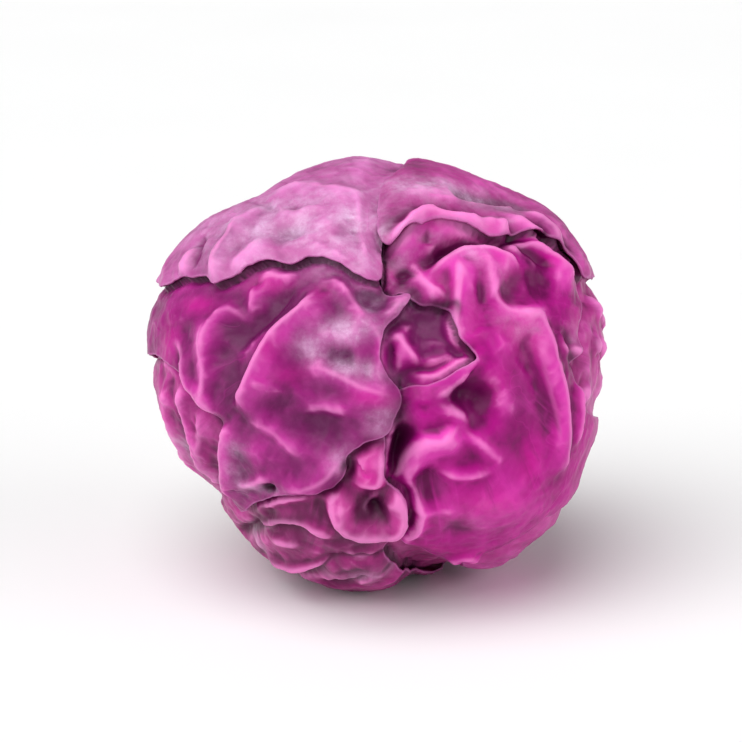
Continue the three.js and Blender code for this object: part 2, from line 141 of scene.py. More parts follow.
# Folds and lumps of each leaf as the face shows them: points and lump sizes in (u, v), heights and fold
# widths in millimetres, turns in degrees. A fold's left and right are its widths as one walks along it.
FOLDS = {
    "crown_leaf": [
        Fold(
            [(-50, 77), (-42, 80), (-36, 82), (-29, 82), (-22, 81), (-15, 80), (-5, 80), (5, 81), (14, 80)],
            1.9, 4, 8,
        ),
        Fold([(-9, 79), (-8, 70), (-7, 60), (-5, 52), (-3, 45)], 0.7, 1.2, 1.2),
        Fold([(-60, 71), (-66, 62), (-71, 54), (-72, 47), (-71, 40)], 3.4, 5, 3),
        Fold([(-73, 60), (-75, 52), (-77, 46), (-78, 42)], -2.4, 2, 3, 0, 1.3),
        Fold([(-48, 62), (-55, 56), (-61, 49), (-66, 43)], 2.4, 5, 3),
        Fold([(-60, 63), (-64, 55), (-68, 47)], -1.2, 3, 3),
        Fold([(-80, 58), (-84, 50), (-88, 43)], 2.2, 4, 3),
        Fold([(-30, 66), (-38, 60), (-46, 58), (-53, 62)], -0.7, 4, 6),
        Fold([(-50, 74), (-58, 68), (-66, 66)], 1.4, 2, 5),
        Fold([(-20, 60), (-12, 62), (-2, 60)], -1.0, 4, 5),
        Fold([(-45, 72), (-36, 70), (-28, 72), (-20, 70)], 1.0, 1.5, 4),
        Fold([(-34, 58), (-26, 56), (-18, 52), (-10, 48)], 0.8, 1.5, 4),
    ],
    "shoulder_leaf": [
        Fold(
            [
                (3, 58), (8, 62), (13, 66), (17, 70), (22, 72), (28, 70), (34, 69), (42, 68), (50, 68),
                (55, 66), (62, 62),
            ],
            6.0, 2.6, 6.0,
        ),
        Fold([(28, 74), (36, 73), (46, 72), (54, 71), (60, 67), (66, 63)], -4.5, 5, 3, 0, 1.4),
        Fold([(56, 72), (63, 67), (70, 61), (76, 55)], 3.4, 2.5, 4),
        Fold([(66, 68), (72, 62), (78, 55), (83, 49)], -3.4, 2, 2.5, 0, 1.4),
        Fold([(60, 76), (68, 71), (76, 63), (83, 54)], 3.0, 3, 3),
        Fold([(8, 80), (22, 79), (38, 77)], 1.6, 5, 6),
        Fold([(20, 76), (34, 75), (48, 75)], 0.9, 1.5, 3),
        Fold([(37, 61), (43, 62), (50, 60)], -2.6, 3, 3),
    ],
    "front_left_leaf": [
        Fold(
            [(-91, 18), (-88, 13), (-86, 7), (-85, 1), (-83, -4), (-79, -9), (-74, -14), (-67, -19)],
            2.6, 4, 2.0,
        ),
        Fold([(-98, 9), (-93, 2), (-88, -4)], 1.6, 2.5, 2.5),
        Fold([(-76, 27), (-77, 18), (-77, 10), (-76, 2), (-76, -6), (-74, -13), (-70, -18)], 2.6, 3, 4),
        Fold([(-57, 22), (-62, 27), (-67, 29), (-72, 25), (-74, 15), (-75, 5)], 1.6, 4, 1.8),
        Fold([(-82, 24), (-82, 12), (-81, 2)], -1.8, 4, 4),
        Fold([(-56, 41), (-56, 33), (-58, 26)], 1.8, 5, 1.6),
        Fold([(-56, 41), (-48, 44), (-40, 43), (-34, 43)], 2.2, 4, 5),
        Fold([(-32, 40), (-38, 32), (-45, 24), (-53, 17), (-59, 9)], -3.6, 2.5, 10, 0, 1.6),
        Fold(
            [
                (-27, 40), (-31, 32), (-37, 26), (-43, 21), (-48, 15), (-52, 8), (-55, 2), (-60, -8),
                (-65, -17),
            ],
            5.0, 8, 2.2, 0.15,
        ),
        Fold([(-27, 40), (-20, 41), (-15, 38), (-11, 32), (-7, 26), (0, 24)], 1.8, 1.6, 4),
        Fold([(-22, 34), (-18, 26), (-22, 16)], -1.2, 5, 5),
        Fold([(-36, 3), (-26, 3), (-18, 0), (-8, -5), (2, -8), (9, -10)], 2.0, 4, 5),
        Fold([(-24, 7), (-17, 7), (-8, 8)], -1.6, 3, 4),
        Fold([(-53, -4), (-46, -5), (-40, -8)], 0.8, 1.5, 3),
        Fold([(-36, -17), (-28, -15), (-20, -15), (-11, -18)], 1.6, 3, 1.6),
        Fold([(-60, -19), (-48, -23), (-38, -32), (-30, -38)], 1.8, 4, 2),
        Fold([(-66, -20), (-68, -30), (-68, -40), (-67, -50), (-63, -57)], 3.6, 6, 2.0),
        Fold([(-12, -34), (-18, -39), (-22, -44), (-28, -48), (-36, -50), (-44, -48)], 2.0, 3, 4),
        Fold([(-62, -48), (-54, -47), (-50, -45), (-44, -44)], 1.6, 2, 2),
        Fold([(-6, 26), (0, 17), (1, 8), (0, 0), (5, -8)], 1.6, 4, 3),
        Fold([(17, 36), (11, 33), (6, 28), (2, 22)], 2.0, 3, 3),
    ],
    "left_side_leaf": [
        Fold([(-87, -2), (-87, -10), (-85, -20), (-81, -30), (-78, -38), (-73, -46)], 2.6, 3.5, 2),
        Fold([(-92, -2), (-93, -12), (-90, -24), (-84, -36), (-77, -47)], 2.0, 4, 4),
        Fold([(-78, -14), (-77, -24), (-77, -32), (-74, -42), (-68, -54)], 2.0, 4, 2),
        Fold([(-82, -12), (-81, -22), (-78, -32)], -1.6, 3, 3),
    ],
    "belly_leaf": [
        Fold([(-60, -60), (-50, -57), (-40, -55), (-25, -53), (-14, -50)], 4.0, 3, 2.4),
        Fold([(-56, -64), (-45, -62), (-35, -61), (-26, -61)], -4.2, 2.5, 2.5, 0, 1.3),
        Fold([(-54, -70), (-44, -66), (-34, -66), (-25, -69), (-18, -74)], 3.6, 2.5, 2.5),
        Fold([(-50, -80), (-40, -84), (-28, -85), (-18, -82)], 3.2, 2, 2.5),
        Fold(
            [(-53, -75), (-46, -78), (-38, -80), (-28, -80), (-20, -76), (-14, -73)],
            -4.2, 2.5, 2.5, 0, 1.3,
        ),
        Fold([(-48, -72), (-40, -73), (-32, -75)], 2.0, 2, 2.5),
        Fold(
            [
                (-19, -52), (-20, -60), (-15, -68), (-7, -71), (3, -71), (9, -69), (11, -63), (9, -56),
                (5, -50),
            ],
            6.0, 7, 2.6,
        ),
        Fold([(-18, -76), (-8, -74), (2, -75)], -3.2, 2, 2.5, 0, 1.3),
        Fold([(-24, -86), (-12, -85), (-2, -82)], -3.0, 2, 2.5, 0, 1.3),
        Fold([(-46, -83), (-34, -87), (-22, -88)], -2.4, 2.5, 2.5, 0, 1.3),
        Fold([(-16, -79), (-8, -80), (0, -79)], 2.6, 3, 3),
        Fold([(1, -50), (-4, -56), (-6, -59), (-3, -62)], 1.4, 1.2, 1.2),
        Fold([(1, -30), (1, -38), (1, -44), (-1, -48), (-7, -48), (-13, -47)], 3.2, 2, 6),
        Fold([(-13, -34), (-14, -39), (-12, -43)], -2.4, 2.5, 2.5),
    ],
    "right_leaf": [
        Fold([(4, 52), (8, 56), (13, 60), (20, 61), (28, 61), (34, 60), (42, 61)], 5.0, 2.6, 6),
        Fold([(4, 51), (4, 45), (5, 39)], 3.0, 4, 2),
        Fold([(22, 46), (26, 49), (31, 52), (37, 56), (44, 58), (51, 57)], -6.0, 4, 2.2, 0, 1.6),
        Fold([(12, 51), (16, 46), (19, 42), (23, 38), (28, 35), (33, 33)], 4.4, 4, 4),
        Fold([(5, 42), (9, 44), (13, 43), (16, 39)], -3.2, 1.5, 5),
        Fold(
            [(21, 43), (27, 48), (33, 52), (37, 54), (43, 55), (49, 55), (55, 52), (60, 49), (65, 45)],
            5.6, 2.0, 12, -0.1,
        ),
        Fold([(51, 55), (57, 58), (64, 59), (70, 59), (75, 56), (80, 51), (84, 46), (89, 41)], 4.4, 2.2, 8),
        Fold([(52, 54), (58, 51), (65, 47), (72, 41)], -4.4, 4, 3, 0, 1.6),
        Fold([(34, 50), (34, 40), (34, 30), (33, 20), (36, 14), (39, 9)], 4.6, 7, 2.0, 0.1),
        Fold([(41, 54), (45, 46), (47, 39), (51, 32), (56, 28), (63, 27), (70, 28), (76, 30)], 2.2, 2.5, 3.5),
        Fold([(41, 46), (42, 36), (42, 26)], -1.2, 2.5, 2.5),
        Fold([(60, 38), (68, 38), (74, 36)], -2.0, 6, 6),
        Fold(
            [
                (56, 26), (65, 26), (71, 23), (75, 15), (77, 8), (79, 0), (81, -8), (82, -20), (82, -32),
                (80, -46),
            ],
            2.6, 2.4, 6,
        ),
        Fold([(78, 22), (79, 14), (81, 6), (84, -2), (86, -12)], -2.4, 2.5, 2.5),
        Fold([(86, 12), (88, 2), (88, -8), (88, -20), (86, -34)], 2.2, 2.5, 3),
        Fold([(58, 20), (63, 10), (68, -2), (72, -14), (75, -28)], -2.0, 3, 5),
        Fold([(66, 20), (70, 8), (74, -6), (77, -20), (77, -34)], 1.4, 3, 3),
        Fold([(78, 18), (82, 12), (88, 11), (92, 14)], 1.8, 2, 2),
        Fold([(92, 14), (92, 8), (91, 2), (88, -3)], 2.0, 2.5, 2.5),
        Fold([(12, -3), (18, -1), (24, -1), (30, 2), (36, 6), (43, 6), (46, 3)], 4.2, 2, 5),
        Fold([(24, -12), (27, -9), (32, -6), (37, -2), (41, 1)], 2.4, 1.8, 2.2),
        Fold([(24, -11), (30, -15), (36, -18), (42, -23)], 2.0, 2.2, 3),
        Fold([(29, -12), (36, -8), (42, -9), (46, -14)], -5.0, 5, 5),
        Fold([(46, 4), (51, -4), (55, -12), (60, -20)], 1.2, 3, 3),
        Fold([(35, -22), (42, -28), (50, -35), (56, -40)], 1.8, 2.2, 2.2),
        Fold([(22, -41), (28, -42), (35, -44), (43, -43), (52, -41)], 1.8, 3.5, 1.6),
        Fold(
            [
                (38, -21), (33, -25), (28, -29), (21, -30), (16, -33), (12, -38), (10, -43), (8, -48),
                (10, -54), (13, -59), (14, -64), (12, -70), (9, -74),
            ],
            4.6, 6, 2.4,
        ),
        Fold([(15, -52), (17, -59), (16, -64), (13, -71), (9, -75)], 1.8, 2.2, 2.2),
        Fold([(9, -18), (10, -26), (7, -34), (5, -42), (5, -49)], -6.0, 4, 4),
        Fold([(18, -37), (20, -45), (21, -53)], -2.4, 4, 4),
        Fold([(16, -60), (22, -58), (30, -57), (36, -57)], 1.0, 2, 2),
        Fold([(26, -63), (33, -64), (41, -65)], -1.4, 4, 4),
        Fold(
            [
                (6, -76), (13, -76), (20, -79), (29, -80), (38, -79), (44, -79), (52, -77), (60, -73),
                (67, -68),
            ],
            2.0, 2, 4,
        ),
    ],
    "right_side_leaf": [
        Fold([(93, 36), (95, 30), (97, 24)], 2.4, 3, 3),
        Fold([(92, 20), (96, 19), (100, 20)], -3.0, 2.5, 2.5),
        Fold([(90, 17), (92, 8), (91, 0)], -2.4, 2, 2),
        Fold([(94, 15), (98, 12), (97, 6)], 2.6, 3, 3),
        Fold([(92, 5), (95, 3), (97, 0)], -2.4, 2, 2),
        Fold([(90, -4), (92, -10), (90, -18)], 2.2, 3, 3),
    ],
    "keel_leaf": [],
    "heart": [
        Fold([(3, 12), (5, 16), (9, 16), (12, 12), (16, 7), (20, 2)], 3.6, 2, 3),
        Fold([(9, 15), (9, 6), (9, -3), (11, -8)], 2.0, 2.5, 2.5),
        Fold([(3, 18), (6, 21), (10, 22), (17, 21)], 2.4, 2, 3.5),
        Fold([(18, 14), (25, 14), (32, 13)], 1.0, 1.5, 2.5),
        Fold([(18, 3), (25, 5), (31, 7), (36, 9)], 3.0, 2.5, 4),
        Fold([(12, 30), (22, 32), (32, 30)], -3.0, 4, 5),
    ],
}
LUMPS = {
    "crown_leaf": [
        Lump((-38, 60), (7, 5), 20, -0.5),
        Lump((-22, 66), (7, 6), -20, 1.0),
        Lump((-4, 90), (12, 14), 0, 1.8),
    ],
    "shoulder_leaf": [Lump((46, 64), (7, 3), 0, 1.2), Lump((14, 92), (10, 10), 0, -1.6)],
    "front_left_leaf": [
        Lump((-25, -23), (13, 8), -10, -3.2),
        Lump((-63, 8), (6, 17), 8, -2.2),
        Lump((-17, 18), (10, 6), 10, 1.8),
        Lump((-50, -34), (9, 9), 0, 1.8),
        Lump((-47, -48.5), (3, 2), 0, -3.2),
        Lump((-4, 33), (6, 5), -30, -2.4),
        Lump((-10, -12), (10, 6), 0, 1.4),
        Lump((-48, -12), (12, 8), 0, -1.2),
    ],
    "belly_leaf": [
        Lump((-2, -58), (8, 7), 20, -5.5),
        Lump((-7, -41), (5, 6), 0, 1.5),
        Lump((-10, -88), (9, 4), 5, 2.0),
    ],
    "right_leaf": [
        Lump((48, 14), (12, 10), 20, 2.0),
        Lump((28, 52), (8, 4), 30, -3.0),
        Lump((46, -58), (22, 14), 10, 3.0),
        Lump((18, -6), (5, 4), 0, 1.6),
        Lump((62, -30), (7, 9), 20, -1.4),
        Lump((45, -16), (6, 8), -30, -2.4),
        Lump((98, -22), (6, 6), 0, -2.0),
    ],
    "right_side_leaf": [Lump((97, 23), (4, 4), 0, 1.6)],
}

# Swellings and hollows of the whole head, under all its leaves.
SHAPE = [
    Lump((38, 100), (12, 22), 0, -4.5),
    Lump((98, 58), (20, 14), 0, -2.5),
    Lump((-62, 92), (22, 14), 0, -4.0),
    Lump((16, -100), (7, 26), 0, -4.0),
    Lump((44, -90), (26, 22), 0, 5.0),
    Lump((98, -42), (22, 12), 0, -4.0),
    Lump((0, 100), (24, 20), 0, 2.2),
]

# Where a margin lies tight on the leaf below.
TIGHT = [
    Lump((6, 88), (16, 50), 0, 1.0),
    Fold([(1, 63), (3, 70), (9, 78)], 1.0, 7, 7),
    Lump((22, 61), (12, 5), 0, 0.8),
    Lump((22, -4), (17, 7), 0, 0.9),
    Lump((94, -18), (12, 8), 0, 1.0),
    Lump((92, 42), (8, 8), 0, 1.0),
    Lump((34, -84), (14, 20), 0, 1.0),
]

# Areas of grey bloom, deep purple, painted shade and bright colour, with their strengths.
# Partly the leaf's waxy grey bloom, partly painted sheen and painted rim light.
BLOOM_AND_SHEEN = [
    Lump((-40, 66), (45, 18), -10, 0.9),
    Lump((0, 64), (6, 18), 10, 0.8),
    Lump((-13, 19), (12, 5), 10, 1.2),
    Lump((-26, 12), (7, 6), 30, 0.8),
    Lump((-12, 3), (13, 4), -15, 0.9),
    Lump((-4, 33), (6, 7), 0, 0.9),
    Lump((-60, -32), (5, 4), 0, 1.3),
    Lump((-52, -48), (12, 3), -10, 1.0),
    Lump((2, -20), (6, 6), 0, 0.8),
    Lump((10, 31), (9, 4), 50, 1.0),
    Lump((-52, -72), (6, 8), 0, 0.7),
    Lump((0, 62), (4, 8), 0, 1.0),
    Lump((30, 80), (35, 9), -15, 1.2),
    Lump((-80, -34), (8, 18), 20, 0.9),
    Lump((62, 20), (12, 7), -30, 0.45),
    Lump((45, -60), (20, 10), 0, 0.2),
    Lump((48, 42), (7, 9), 0, 0.4),
    Lump((-35, 70), (18, 7), 10, 0.8),
    Lump((-12, 66), (8, 10), 10, 1.3),
    Lump((52, 66), (6, 3), 0, 0.5),
    Lump((20, 59), (9, 2.5), 0, 0.6),
    Lump((84, 14), (5, 8), 0, 0.6),
    Lump((-98, 33), (4, 8), 0, 0.5),
    Lump((-16, -36), (6, 4), 30, 0.7),
    Lump((39, 50), (8, 7), 0, 0.9),
    Lump((-60, -42), (6, 10), 0, 0.6),
    Lump((9, 52), (7, 4), 20, 0.9),
    Lump((-10, -87), (14, 5), 0, 0.8),
    Lump((95, 32), (4, 8), 0, 0.6),
]
# Deep purple, partly the leaf's own and partly painted shade in hollows and dark folds.
DEEP_AND_SHADE = [
    Lump((-68, 55), (16, 13), 30, 1.1),
    Lump((75, 60), (12, 6), -40, 1.0),
    Lump((-4, -66), (16, 7), 0, 1.0),
    Lump((-40, 10), (9, 6), 20, 0.5),
    Lump((80, -32), (6, 14), 0, 0.9),
    Lump((-32, -70), (28, 13), -10, 0.9),
    Lump((62, -12), (9, 15), 10, 1.0),
    Lump((-5, -66), (14, 5), 0, 0.5),
    Lump((-63, -8), (8, 8), 0, 0.5),
    Lump((-50, -14), (10, 8), 0, 0.5),
    Lump((-36, -36), (10, 7), 0, 0.4),
    Lump((-5, -15), (8, 4), 0, 0.5),
    Lump((-25, -23), (14, 9), -10, 1.0),
    Lump((-20, -6), (9, 5), -20, 0.7),
    Lump((-42, 27), (10, 9), 40, 0.9),
    Lump((-63, 8), (6, 17), 8, 0.6),
    Lump((-17, 6), (9, 3), 0, 0.6),
    Lump((-30, 19), (7, 5), 30, 0.6),
    Lump((-22, 30), (7, 7), 0, 0.5),
    Lump((22, 22), (12, 10), 0, 1.0),
    Lump((38, -10), (12, 7), -20, 1.0),
    Lump((9, -30), (6, 14), 0, 1.0),
    Lump((-2, -58), (8, 7), 20, 1.0),
    Lump((18, -46), (5, 9), 0, 0.9),
    Lump((-30, -62), (24, 4), 5, 0.8),
    Lump((28, 51), (8, 4), 30, 1.0),
    Lump((50, 72), (16, 3.5), -12, 1.0),
    Lump((66, 40), (10, 7), 0, 0.55),
    Lump((60, 50), (10, 4), -30, 0.7),
    Lump((66, -4), (4, 20), 25, 0.7),
    Lump((60, -30), (5, 8), 0, 0.6),
    Lump((33, -63), (11, 5), 0, 0.5),
    Lump((34, -34), (9, 5), 0, 0.4),
    Lump((-45, -80), (22, 8), -15, 0.7),
    Lump((-18, -43), (6, 4), 40, 0.8),
    Lump((-8, -84), (12, 3), 0, 0.8),
    Lump((92, 14), (3, 4), 0, 0.8),
]
# Painted shade: near-black in crevices, in holes and under margins.
SHADE = [
    Fold([(1, 62), (0, 57), (3, 54), (3, 48), (3, 42), (1, 38), (4, 35)], 1.0, 0.8, 0.8),
    Lump((3, 37), (2.6, 2.6), 0, 1.0),
    Lump((10, 41), (4, 2.6), 0, 0.8),
    Fold([(22, 46), (27, 49), (32, 52)], 0.8, 2.4, 1.2),
    Fold([(51, 55), (56, 57)], 0.8, 1.5, 1.2),
    Fold([(62, 49), (66, 47)], 0.6, 2.0, 1.2),
    Fold([(18, 33), (25, 30), (32, 29), (33, 22)], 0.8, 1.2, 1.6),
    Fold([(11, -4), (11, -12), (9, -20), (9, -28), (7, -36), (5, -44)], 0.75, 3.6, 2.0),
    Fold([(10, 2), (10, -4), (11, -12), (9, -17)], 0.8, 0.8, 0.8),
    Lump((33, -9), (7, 3.5), 25, 0.6),
    Lump((-1, -57), (3, 4), 30, 0.9),
    Lump((-47, -49), (3, 1.6), 0, 1.0),
    Lump((-14, -38), (2, 3.2), 0, 0.9),
    Lump((-17, -47), (5, 2), 30, 0.7),
    Fold([(68, 66), (70, 60), (76, 54)], 0.9, 1.2, 1.2),
    Lump((2, -75), (3, 2.5), 30, 0.8),
    Lump((3, -83), (4, 2), 20, 0.8),
    Fold([(-24, -86), (-12, -85), (-2, -82)], 0.6, 1.2, 1.2),
    Fold([(-56, -64), (-45, -62), (-35, -61), (-26, -61)], 0.5, 1.2, 1.2),
    Fold([(-53, -75), (-46, -78), (-38, -80), (-28, -80), (-20, -76)], 0.6, 1.2, 1.2),
]
BRIGHT = [
    Lump((25, 66), (8, 4), 10, 1.0),
    Lump((30, 55), (7, 3.5), 30, 0.9),
    Lump((44, 60), (6, 2.5), 0, 0.8),
    Lump((-5, -42), (5, 7), 0, 1.0),
    Lump((5, 47), (4, 8), 0, 0.8),
    Lump((27, 36), (5, 5), 0, 0.8),
    Lump((48, 46), (12, 8), -30, 0.6),
    Lump((62, 18), (12, 9), -40, 0.9),
    Lump((38, 20), (6, 12), 0, 0.6),
    Lump((52, -2), (6, 6), 0, 0.6),
    Lump((46, -54), (14, 6), 10, 0.8),
    Lump((30, -75), (16, 4), 0, 0.7),
    Lump((65, -38), (6, 10), 10, 0.7),
    Lump((20, -62), (3, 3), 0, 0.7),
    Lump((27, 4), (7, 3), 15, 0.8),
    Lump((-90, 14), (8, 10), 0, 0.7),
    Lump((-48, 40), (9, 4), 0, 0.8),
    Lump((-78, 30), (10, 4), 0, 0.8),
    Lump((-44, 10), (5, 6), 40, 0.7),
    Lump((-24, 35), (4, 5), 0, 0.7),
    Lump((-4, -10), (9, 3), -10, 0.8),
    Lump((-38, 0), (8, 4), 0, 0.6),
    Lump((-92, -12), (4, 8), 0, 0.7),
    Lump((74, 50), (5, 7), 30, 0.8),
    Lump((-40, -68), (8, 3), 0, 0.5),
    Lump((-8, -80), (8, 3), 0, 0.6),
    Lump((85, 22), (7, 6), 0, 0.5),
]

# ---------------------------------------------------------------- frames and grids


def turned(points, angle):
    """Points turned about the x axis."""
    c, s = math.cos(angle), math.sin(angle)
    x, y, z = points.T
    return np.stack([x, c * y - s * z, s * y + c * z], 1)


def to_world(points):
    return (turned(points, -TIP) + CENTRE) * MM


def to_face(points):
    return turned(points / MM - CENTRE, TIP)


def unit(vectors):
    return vectors / np.maximum(np.linalg.norm(vectors, axis=-1, keepdims=True), 1e-12)


def dot(a, b):
    return (a * b).sum(-1)


def smoothstep(x, low, high):
    t = np.clip((x - low) / (high - low), 0, 1)
    return t * t * (3 - 2 * t)


def mesh_arrays(me):
    """Vertex places and triangle corners of a mesh."""
    me.calc_loop_triangles()
    places = np.empty(len(me.vertices) * 3)
    me.vertices.foreach_get("co", places)
    corners = np.empty(len(me.loop_triangles) * 3, np.int32)
    me.loop_triangles.foreach_get("vertices", corners)
    return places.reshape(-1, 3), corners.reshape(-1, 3)


def direction_grid():
    """Directions from the centre and the triangles that join them."""
    bm = bmesh.new()
    bmesh.ops.create_icosphere(bm, subdivisions=3, radius=1)
    bmesh.ops.subdivide_edges(bm, edges=bm.edges[:], cuts=GRID_CUTS, use_grid_fill=True)
    me = bpy.data.meshes.new("grid")
    bm.to_mesh(me)
    bm.free()
    places, triangles = mesh_arrays(me)
    bpy.data.meshes.remove(me)
    return unit(unit(places) + FRONT_BIAS * FRONT), triangles


DIRECTIONS, TRIANGLES = direction_grid()
COUNT = len(DIRECTIONS)
EDGES = np.unique(np.sort(TRIANGLES[:, [0, 1, 1, 2, 2, 0]].reshape(-1, 2), 1), axis=0)
DEGREE = np.bincount(EDGES.ravel(), minlength=COUNT)


def smoothed(values, reach):
    """Values on the grid, blurred over about a reach in millimetres."""
    a, b = EDGES.T
    for _ in range(max(1, round(ROUNDS_PER_MM2 * reach * reach))):
        total = np.bincount(a, values[b], COUNT) + np.bincount(b, values[a], COUNT)
        values = 0.5 * values + 0.5 * total / DEGREE
    return values


def noise_field(points, scale, seed, octaves=2):
    """Smooth noise of about -1 to 1, with features of about a scale in millimetres."""
    offset = Vector((seed * 17.3, seed * -7.1, seed * 3.7))
    values = [noise.fractal(Vector(p) / scale + offset, 1.0, 2.0, octaves) for p in points.tolist()]
    return np.array(values)


# ---------------------------------------------------------------- skin and margins


def outermost_radius(reach=1.4 * HALF_WIDTH):
    """The frame's outermost radius in each direction, without the steps at the leaf margins."""
    places, triangles, shift = [], [], 0
    for name in [*LEAVES, "heart"]:
        at, corners = mesh_arrays(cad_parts[name].data)
        places.append(to_face(at))
        triangles.append(corners + shift)
        shift += len(at)
    tree = BVHTree.FromPolygons(np.concatenate(places).tolist(), np.concatenate(triangles).tolist())
    rays = [Vector(d) for d in DIRECTIONS]
    return np.array([reach - tree.ray_cast(ray * reach, -ray)[3] for ray in rays])


RADIUS = smoothed(outermost_radius(), 4.0)
SKIN = RADIUS[:, None] * DIRECTIONS
SKIN_TREE = BVHTree.FromPolygons(SKIN.tolist(), TRIANGLES.tolist())


def under(u, v):
    """The point of the skin that the eye sees at (u, v), or the nearest one if it sees none."""
    on = Vector((u * UNIT, 0, v * UNIT))
    eye = Vector((0, -EYE_DISTANCE, 0))
    hit = SKIN_TREE.ray_cast(eye, (on - eye).normalized())[0]
    return hit or SKIN_TREE.find_nearest(on)[0]


def toward(direction):
    """The point of the skin in a direction from the centre."""
    ray = Vector(direction).normalized()
    return SKIN_TREE.ray_cast(ray * 1.4 * HALF_WIDTH, -ray)[0]


def smooth_path(points, step):
    """A Catmull-Rom curve through points, sampled about every step."""
    points = np.asarray(points, float)
    start, end = points[:-1], points[1:]
    before = np.concatenate([start[:1], start[:-1]])
    after = np.concatenate([end[1:], end[-1:]])
    pieces = []
    for a, b, c, d in zip(before, start, end, after):
        t = np.linspace(0, 1, max(2, math.ceil(np.linalg.norm(c - b) / step)), endpoint=False)[:, None]
        pieces.append(b + 0.5 * t * (c - a + t * (2 * a - 5 * b + 4 * c - d + t * (3 * (b - c) + d - a))))
    pieces.append(end[-1:])
    return np.concatenate(pieces)


class Path:
    """A curve on the skin, and where points lie beside it."""

    def __init__(self, samples):
        self.samples = samples
        ahead, behind = np.roll(samples, -1, 0), np.roll(samples, 1, 0)
        ahead[-1], behind[0] = samples[-1], samples[0]
        self.tangents = unit(ahead - behind)
        self.rights = unit(np.cross(self.tangents, unit(samples)))
        steps = np.linalg.norm(np.diff(samples, axis=0), axis=1)
        self.along = np.concatenate([[0], np.cumsum(steps)])

    def beside(self, points):
        """Distance from the curve, how far along it that is, and the side: 1 on its right, -1 on its left."""
        nearest = np.argmin((self.samples**2).sum(1) - 2 * points @ self.samples.T, axis=1)
        far = np.full(len(points), np.inf)
        along, side = np.zeros(len(points)), np.zeros(len(points))
        for start in (np.maximum(nearest - 1, 0), np.minimum(nearest, len(self.samples) - 2)):
            step = self.samples[start + 1] - self.samples[start]
            share = np.clip(dot(points - self.samples[start], step) / dot(step, step), 0, 1)
            gap = points - self.samples[start] - share[:, None] * step
            length = np.linalg.norm(gap, axis=1)
            closer = length < far
            far[closer] = length[closer]
            along[closer] = (start + share)[closer]
            side[closer] = (dot(gap, self.rights[start]) / np.maximum(length, 1e-9))[closer]
        return far, along, side


def drawn(points, height):
    """The path on the skin below points (u, v) that are seen at a height above it."""
    points = smooth_path(points, 1.2) / (1 + height / HALF_WIDTH)
    return Path(np.array([under(u, v) for u, v in points]))


def margin_loop(name):
    """A leaf's margin, from the rim of the outer sheet of its solid, and the middle of the sheet."""
    places, triangles = mesh_arrays(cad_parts[name].data)
    keys, merged = np.unique(np.round(to_face(places), 3), axis=0, return_inverse=True)
    triangles = merged.reshape(-1)[triangles]
    a, b, c = keys[triangles].transpose(1, 0, 2)
    normals = np.cross(b - a, c - a)
    outer = triangles[dot(unit(normals), unit(a + b + c)) > 0.5]
    sides = {(p, q) for t in outer.tolist() for p, q in zip(t, t[1:] + t[:1])}
    following = {p: q for p, q in sides if (q, p) not in sides}
    loops = []
    while following:
        at, after = following.popitem()
        loop = [at]
        while after in following:
            loop.append(after)
            after = following.pop(after)
        loops.append(loop)
    loop = keys[max(loops, key=len)] * MARGIN_STRETCH + MARGIN_RISE
    middle = unit(keys[outer].mean((0, 1)))
    return loop, middle


def even_loop(loop, step):
    """A closed polyline resampled evenly, with its corners rounded."""
    loop = np.concatenate([loop, loop[:1]])
    along = np.concatenate([[0], np.cumsum(np.linalg.norm(np.diff(loop, axis=0), axis=1))])
    at = np.linspace(0, along[-1], round(along[-1] / step), endpoint=False)
    even = np.stack([np.interp(at, along, column) for column in loop.T], 1)
    for _ in range(4):
        even = 0.5 * even + 0.25 * (np.roll(even, 1, 0) + np.roll(even, -1, 0))
    return even


def chart(directions, middle):
    """Directions on a flat chart round a middle, true to angle and bearing."""
    east = unit(np.cross([0.0, 0.0, 1.0], middle))
    north = np.cross(middle, east)
    flat = unit(np.stack([directions @ east, directions @ north], 1))
    return flat * np.arccos(np.clip(directions @ middle, -1, 1))[:, None]


def depth_inside(name):
    """How far inside a leaf's margin each grid direction lies, negative outside, in millimetres."""
    loop, middle = margin_loop(name)
    loop = even_loop(loop, 1.5)
    loop = np.array([toward(p) for p in loop])
    far = Path(np.concatenate([loop, loop[:1]])).beside(SKIN)[0]
    x, y = chart(DIRECTIONS, middle).T
    rim = chart(unit(loop), middle)
    inside = np.zeros(COUNT, bool)
    for (ax, ay), (bx, by) in zip(rim, np.roll(rim, -1, 0)):
        if ay != by:
            inside ^= ((ay > y) != (by > y)) & (x < ax + (y - ay) / (by - ay) * (bx - ax))
    return np.where(inside, far, -far)


# ---------------------------------------------------------------- relief


class Relief:
    """Heights and sideways shifts on the grid, and how strongly a crest (painted highlight) or a crease (painted
    shade) runs there.
    """

    def __init__(self):
        self.height, self.crest, self.crease = np.zeros((3, COUNT))
        self.shift = np.zeros((COUNT, 3))

    def fold(self, fold):
        """Adds a ridge along a path, or a valley if its height is negative."""
        close, share, rights = along_fold(fold)
        self.height[close] += fold.height * share
        self.shift[close] += (fold.lean * fold.height * share)[:, None] * rights
        # The line along a crest is painted as a highlight, and the line along a crease as shade.
        lines, (width, gain) = (self.crest, CREST_LINE) if fold.height > 0 else (self.crease, CREASE_LINE)
        close, share, _ = along_fold(fold._replace(left=width, right=width, sharp=2.0))
        lines[close] = np.maximum(lines[close], min(1, gain * abs(fold.height)) * share)

    def lump(self, lump):
        """Adds an oval swelling, or a hollow if its height is negative."""
        close, share = oval(lump)
        self.height[close] += lump.height * share


